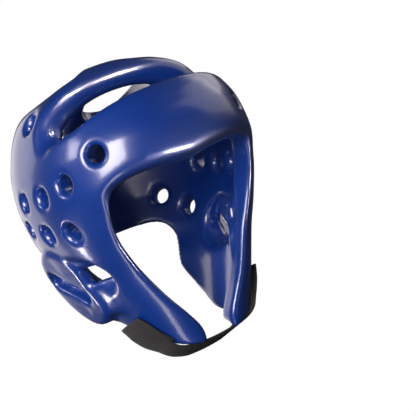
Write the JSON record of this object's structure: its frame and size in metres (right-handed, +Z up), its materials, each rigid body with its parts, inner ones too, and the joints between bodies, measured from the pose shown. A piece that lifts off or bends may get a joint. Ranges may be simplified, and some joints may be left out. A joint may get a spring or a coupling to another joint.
{
  "type": "boxing head guard",
  "caption": "Open-face padded head guard of dipped foam with vents, a crown slot, standing ear pads and a chin strap with hook tape.",
  "frame": {"origin": "seat for the head: on the plane of symmetry, at the height of the brow edge, half way between the ear lines", "axes": "+Z up, -Y towards the face, -X towards the wearer's right"},
  "size_m": [0.206, 0.2389, 0.2733],
  "materials": {
    "dipped_foam": "gloss",
    "webbing": "matte",
    "hook_tape": "matte"
  },
  "bodies": {
    "root": {"shell": "dipped_foam", "ear_pad_right": "dipped_foam", "ear_pad_left": "dipped_foam", "chin_strap": "webbing", "hook_patch": "hook_tape"}
  },
  "joints": []
}
